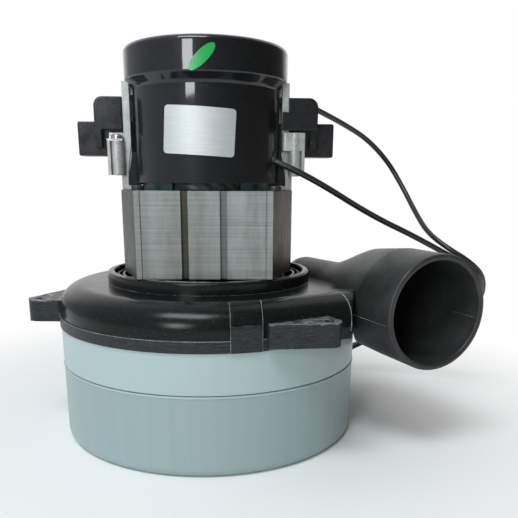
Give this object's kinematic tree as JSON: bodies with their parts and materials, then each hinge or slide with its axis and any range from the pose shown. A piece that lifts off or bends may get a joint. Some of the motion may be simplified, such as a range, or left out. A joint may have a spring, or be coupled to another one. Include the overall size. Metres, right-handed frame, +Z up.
{
  "type": "bypass vacuum motor",
  "caption": "Vacuum motor with a round multi-stage fan can, a tangential discharge horn, an open laminated stator, brush gear and a capped cooling fan.",
  "frame": {"origin": "centre of the air inlet, in the plane of the can's underside", "axes": "+Z up along the motor shaft, -Y the front, where the discharge horn's mouth points"},
  "size_m": [0.2428, 0.1781, 0.1782],
  "materials": {
    "case_paint": "satin paint",
    "bracket_plastic": "moulded, lightly scuffed",
    "cover_plastic": "glossy",
    "holder_plastic": "satin",
    "cast_aluminium": "as cast",
    "lamination_steel": "ground edges",
    "bright_steel": "turned",
    "dark_steel": "blackened",
    "fan_aluminium": "rolled sheet",
    "copper": "enamelled",
    "brass": "drawn",
    "carbon": "pressed carbon",
    "insulation_film": "film",
    "fan_plastic": "moulded",
    "seal_rubber": "matt",
    "label_silver": "satin film",
    "sticker_green": "printed film",
    "lead_insulation": "extruded",
    "terminal_nylon": "moulded"
  },
  "bodies": {
    "housing": {"air_seal": "seal_rubber", "brush_clamp_left": "bright_steel", "brush_clamp_right": "bright_steel", "brush_holder_left": "holder_plastic", "brush_holder_right": "holder_plastic", "brush_spring_left": "bright_steel", "brush_spring_right": "bright_steel", "brush_tube_left": "brass", "brush_tube_right": "brass", "clamp_screws": "bright_steel", "commutator_bracket": "cast_aluminium", "cooling_fan_cover": "cover_plastic", "discharge_horn": "bracket_plastic", "fan_end_bracket": "bracket_plastic", "field_coil_front": "copper", "field_coil_rear": "copper", "inspection_sticker": "sticker_green", "lead_grommet_a": "seal_rubber", "lead_grommet_b": "seal_rubber", "lead_terminal_a": "terminal_nylon", "lead_terminal_b": "terminal_nylon", "lead_wire_a": "lead_insulation", "lead_wire_b": "lead_insulation", "lower_bearing_outer_race": "bright_steel", "lower_shell": "case_paint", "rating_label": "label_silver", "slot_liners": "insulation_film", "stage_plate_1": "fan_aluminium", "stage_plate_2": "fan_aluminium", "stator_core": "lamination_steel", "through_bolts": "dark_steel", "upper_bearing_outer_race": "bright_steel", "upper_shell": "case_paint"},
    "rotor": {"shaft": "bright_steel", "fan_1": "fan_aluminium", "fan_2": "fan_aluminium", "fan_3": "fan_aluminium", "fan_spacers": "fan_aluminium", "fan_washer": "bright_steel", "shaft_nut": "bright_steel", "armature_core": "lamination_steel", "armature_winding": "copper", "commutator": "copper", "cooling_fan": "fan_plastic", "cooling_fan_nut": "bright_steel", "cooling_fan_spacer": "fan_aluminium", "lower_bearing_inner_race": "bright_steel", "upper_bearing_inner_race": "bright_steel"},
    "lower_balls": {"lower_bearing_balls": "bright_steel"},
    "upper_balls": {"upper_bearing_balls": "bright_steel"},
    "brush_left": {"carbon_brush_left": "carbon"},
    "brush_right": {"carbon_brush_right": "carbon"}
  },
  "joints": [
    {"name": "rotor_spin", "type": "hinge", "parent": "housing", "child": "rotor", "pos_m": [0, 0, 0.1], "axis": [0, 0, 1], "continuous": true},
    {"name": "lower_balls_spin", "type": "hinge", "parent": "housing", "child": "lower_balls", "pos_m": [0, 0, 0.065], "axis": [0, 0, 1], "continuous": true},
    {"name": "upper_balls_spin", "type": "hinge", "parent": "housing", "child": "upper_balls", "pos_m": [0, 0, 0.1535], "axis": [0, 0, 1], "continuous": true},
    {"name": "brush_left_slide", "type": "slide", "parent": "housing", "child": "brush_left", "axis": [-1, 0, 0], "range_m": [0, 0.0065], "stiffness_N_per_m": 300, "springref_m": -0.01, "deforming": ["brush_spring_left"]},
    {"name": "brush_right_slide", "type": "slide", "parent": "housing", "child": "brush_right", "axis": [1, 0, 0], "range_m": [0, 0.0065], "stiffness_N_per_m": 300, "springref_m": -0.01, "deforming": ["brush_spring_right"]}
  ],
  "couplings": [
    {"joint": "lower_balls_spin", "follows": "rotor_spin", "ratio": 0.38},
    {"joint": "upper_balls_spin", "follows": "rotor_spin", "ratio": 0.4}
  ]
}
